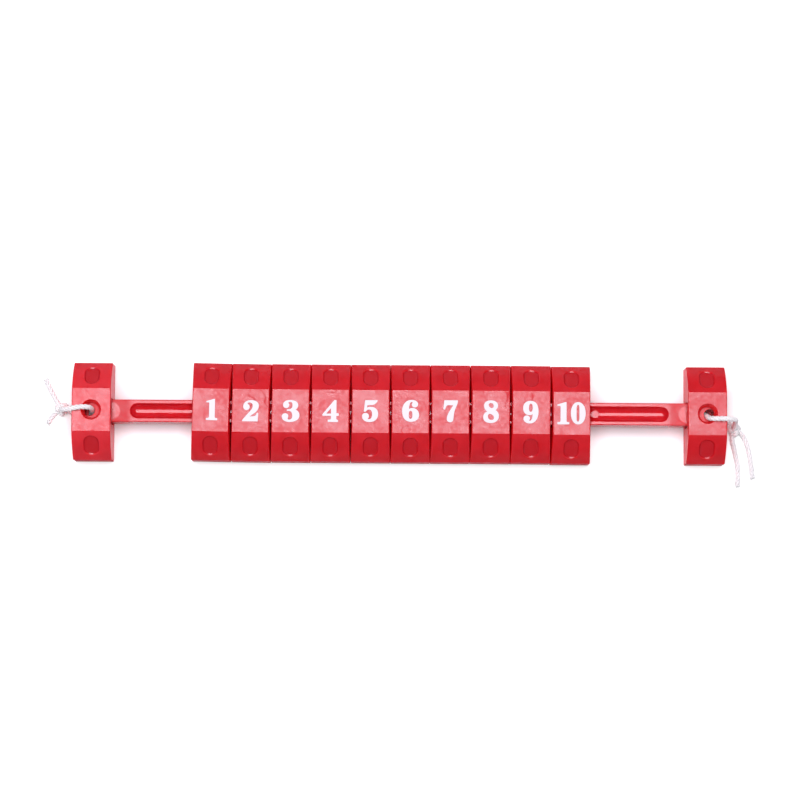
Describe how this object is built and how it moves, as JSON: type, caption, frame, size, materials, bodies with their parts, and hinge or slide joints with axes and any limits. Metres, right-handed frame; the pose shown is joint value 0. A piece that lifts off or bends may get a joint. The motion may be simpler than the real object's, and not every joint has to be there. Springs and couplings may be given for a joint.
{
  "type": "row counter",
  "caption": "Knitting row counter: numbered beads slide along a bar between two end blocks, each block with a short tie cord knotted through its hole.",
  "frame": {"origin": "on the plane that the counter's back rests on, below the middle of the bar", "axes": "+X along the bar from bead 1 towards bead 10, +Y across the beads towards the top of the numerals, +Z out of the numbered faces"},
  "size_m": [0.1982, 0.0325, 0.0155],
  "materials": {
    "bar_plastic": "satin",
    "block_plastic": "satin",
    "bead_plastic": "satin",
    "number_print": "satin",
    "cord_fibre": "matte"
  },
  "bodies": {
    "root": {"bar": "bar_plastic", "end_block_left": "block_plastic", "end_block_right": "block_plastic", "cord_loop_left": "cord_fibre", "cord_tail_left_a": "cord_fibre", "cord_tail_left_b": "cord_fibre", "cord_loop_right": "cord_fibre", "cord_tail_right_a": "cord_fibre", "cord_tail_right_b": "cord_fibre", "knot_left": "cord_fibre", "knot_right": "cord_fibre"},
    "bead_01": {"bead_01": "bead_plastic"},
    "bead_02": {"bead_02": "bead_plastic"},
    "bead_03": {"bead_03": "bead_plastic"},
    "bead_04": {"bead_04": "bead_plastic"},
    "bead_05": {"bead_05": "bead_plastic"},
    "bead_06": {"bead_06": "bead_plastic"},
    "bead_07": {"bead_07": "bead_plastic"},
    "bead_08": {"bead_08": "bead_plastic"},
    "bead_09": {"bead_09": "bead_plastic"},
    "bead_10": {"bead_10": "bead_plastic"}
  },
  "joints": [
    {"name": "bead_05_slide", "type": "slide", "parent": "root", "child": "bead_05", "axis": [-1, 0, 0], "range_m": [0, 0.0043]},
    {"name": "bead_04_slide", "type": "slide", "parent": "bead_05", "child": "bead_04", "axis": [-1, 0, 0], "range_m": [0, 0.0043]},
    {"name": "bead_03_slide", "type": "slide", "parent": "bead_04", "child": "bead_03", "axis": [-1, 0, 0], "range_m": [0, 0.0043]},
    {"name": "bead_02_slide", "type": "slide", "parent": "bead_03", "child": "bead_02", "axis": [-1, 0, 0], "range_m": [0, 0.0043]},
    {"name": "bead_01_slide", "type": "slide", "parent": "bead_02", "child": "bead_01", "axis": [-1, 0, 0], "range_m": [0, 0.0043]},
    {"name": "bead_06_slide", "type": "slide", "parent": "root", "child": "bead_06", "axis": [1, 0, 0], "range_m": [0, 0.0052]},
    {"name": "bead_07_slide", "type": "slide", "parent": "bead_06", "child": "bead_07", "axis": [1, 0, 0], "range_m": [0, 0.0052]},
    {"name": "bead_08_slide", "type": "slide", "parent": "bead_07", "child": "bead_08", "axis": [1, 0, 0], "range_m": [0, 0.0052]},
    {"name": "bead_09_slide", "type": "slide", "parent": "bead_08", "child": "bead_09", "axis": [1, 0, 0], "range_m": [0, 0.0052]},
    {"name": "bead_10_slide", "type": "slide", "parent": "bead_09", "child": "bead_10", "axis": [1, 0, 0], "range_m": [0, 0.0052]}
  ]
}
